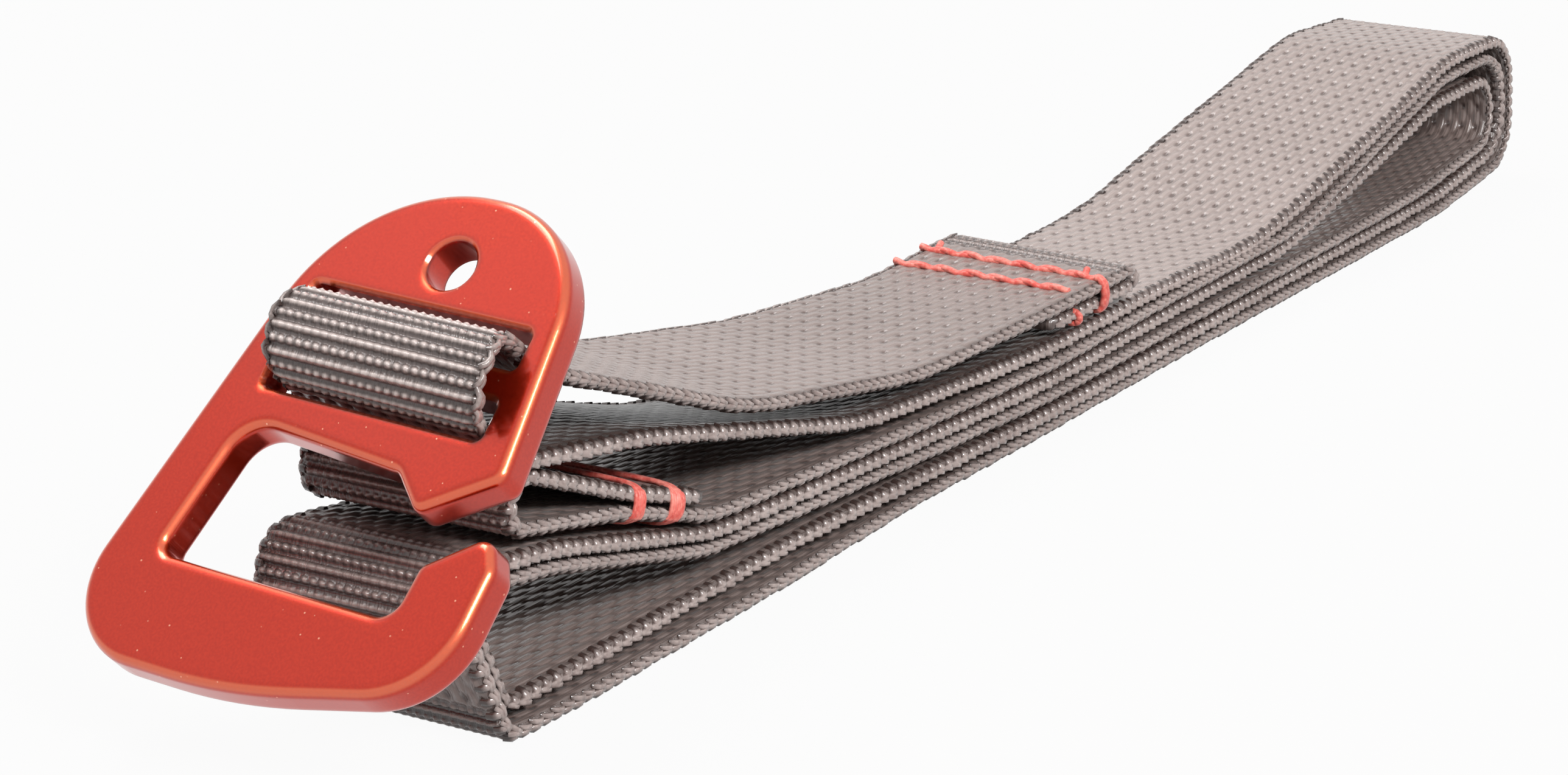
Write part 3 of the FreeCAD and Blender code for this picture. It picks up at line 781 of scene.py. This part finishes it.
# heights of the thread over the middle of the top layer, above it and below the tail's flap
UPPER, LOWER = 0.82, -2.3
ROW_PLY, TACK_PLY = 0.34, 0.2
sew("tail_row_outer", "tail_stitch_outer",
    stitched_line(outer_row_at, 9.9, -9.2, UPPER)
    + over_edge(outer_row_at, (-0.22, 0.0, 0.22), UPPER, LOWER, 10.1)
    + [nib(outer_row_at, -0.2, 8.1, UPPER, -0.9), nib(outer_row_at, -0.2, -7.9, UPPER, -0.7)], ROW_PLY)
sew("tail_row_inner", "tail_stitch_inner",
    stitched_line(inner_row_at, 9.9, -8.9, UPPER)
    + over_edge(inner_row_at, (0.0,), -1.2, LOWER, 10.0)
    + [nib(inner_row_at, 0.0, -7.0, UPPER - 0.5, -0.2)], ROW_PLY)

# tacks of the loop: several soft turns, spread where they go round the edges
TACK_UPPER, TACK_LOWER = -0.85, 2.33
TACK_POINTS = 110
tremble = np.random.default_rng(11)


def round_edge(count, half, high, low, bulge):
    """Closed line round two layers: out and up, and how near it is to an edge."""
    t = np.linspace(0, 2 * math.pi, count, endpoint=False)
    c, sn = np.cos(t), np.sin(t)
    out = half * np.sign(c) * np.abs(c) ** 0.22
    up = (high + low) / 2 + (high - low) / 2 * np.sign(sn) * np.abs(sn) ** 0.5
    beside_middle = np.exp(-((up - (high + low) / 2) / (0.45 * (high - low))) ** 2)
    out = out + np.sign(out) * bulge * beside_middle * (np.abs(c) > 0.9)
    return out, up, ease(half - 2.2, half - 0.2, np.abs(out))


for label, node, turns, wide in (("loop_tack_first", "loop_tack_outer", 7, 0.82),
                                 ("loop_tack_second", "loop_tack_inner", 5, 0.62)):
    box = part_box(node)
    s = length_at(box, at[LOOP_SEAM] - 1.5, at[LOOP_END])
    strings = []
    for k in range(turns):
        out, up, near_edge = round_edge(TACK_POINTS, 9.95, TACK_LOWER, TACK_UPPER, 0.25)
        place_in_tack = 2 * k / (turns - 1) - 1
        width = 0.24 + (wide - 0.24) * near_edge
        rough = np.tile(tremble.normal(0, 1, TACK_POINTS), 3)
        rough = np.convolve(rough, np.ones(9) / 9, "same")[TACK_POINTS:2 * TACK_POINTS]
        forward = place_in_tack * width + 0.10 * rough + 0.25 * (1 - near_edge) * np.sin(out * 0.5 + k)
        heap = 0.10 * (1 - place_in_tack ** 2)
        middle_up = (TACK_UPPER + TACK_LOWER) / 2
        up = middle_up + (up - middle_up) * (1 + heap * 0.6) + 0.05 * rough
        out = out * (1 + 0.012 * (1 - place_in_tack ** 2))
        strings.append((from_strap(s, forward, out, up), True))
    sew(label, node, strings, TACK_PLY)

# ---------------------------------------------------------------- floor, light and camera
# A pale floor in a pale room, with two broad soft lamps, a faint one for the crown of the plate, and
# the camera.


def seen_straight(tree):
    """1 for what the camera sees, also in a gloss or through a gap, and 0 for all other light."""
    path = tree.nodes.new("ShaderNodeLightPath")
    camera, glossy, through = [
        Signal(path.outputs[kind]) for kind in ("Is Camera Ray", "Is Glossy Ray", "Is Transmission Ray")]
    return (camera + glossy + through).maths("MINIMUM", 1.0)


bpy.ops.mesh.primitive_plane_add(size=6)
floor = bpy.context.object
floor.name = "floor"
floor_material = bpy.data.materials.new("pale_floor")
floor_material.use_nodes = True
tree = floor_material.node_tree
diffuse = tree.nodes["Principled BSDF"]
diffuse.inputs["Base Color"].default_value = colour(0.3, 0.29, 0.285)
diffuse.inputs["Roughness"].default_value = 0.9
glow = tree.nodes.new("ShaderNodeEmission")
glow.inputs["Strength"].default_value = 1.0
mix = add_node(tree, "ShaderNodeMixShader", values={
    0: seen_straight(tree) * 0.95, 1: diffuse.outputs[0], 2: glow.outputs[0]})
tree.links.new(mix.outputs[0], tree.nodes["Material Output"].inputs[0])
floor.data.materials.append(floor_material)

world = bpy.data.worlds.new("room")
bpy.context.scene.world = world
world.use_nodes = True
tree = world.node_tree
room = tree.nodes["Background"]
room.inputs["Color"].default_value = colour(1, 0.99, 0.98)
seen = seen_straight(tree)
# the room gives its light from above, and little from the sides
toward = Signal(tree.nodes.new("ShaderNodeTexCoord").outputs["Generated"])
height = Signal(toward.node("ShaderNodeSeparateXYZ", values={0: toward}).socket.node.outputs[2])
above = height.ease(0.2, 0.8) * 0.6 + 0.03
tree.links.new((seen + (1.0 - seen) * above).socket, room.inputs["Strength"])


def lamp(name, stand, aim, size, watts):
    """A soft rectangular lamp that looks from its stand to its aim."""
    light = bpy.data.lights.new(name, "AREA")
    light.shape = "RECTANGLE"
    light.size, light.size_y = size
    light.energy = watts
    thing = bpy.data.objects.new(name, light)
    bpy.context.scene.collection.objects.link(thing)
    thing.location = stand
    direction = np.array(aim, float) - np.array(stand, float)
    yaw = math.atan2(-direction[0], direction[1])
    pitch = math.atan2(math.hypot(direction[0], direction[1]), -direction[2])
    thing.rotation_euler = (pitch, 0, yaw)


lamp("side_lamp", (-0.34, -0.67, 0.58), (-0.05, 0, 0.02), (0.32, 0.2), 7.6)
lamp("top_lamp", (0.04, 0.36, 0.95), (0, 0, 0.02), (0.6, 0.45), 6.4)
lamp("crown_lamp", (-0.25, 0.55, 0.78), (-0.085, 0, 0.035), (0.3, 0.3), 0.14)

camera_data = bpy.data.cameras.new("camera")
camera_data.lens = 90.307
camera_data.sensor_width = 36.0
camera_data.clip_start = 0.01
camera = bpy.data.objects.new("camera", camera_data)
bpy.context.scene.collection.objects.link(camera)
camera.location = (-0.314141, -0.172165, 0.1142)
camera.rotation_euler = (math.radians(90 - 17.47), 0, -math.radians(58.42))
bpy.context.scene.camera = camera
bpy.context.scene.view_settings.view_transform = "Standard"
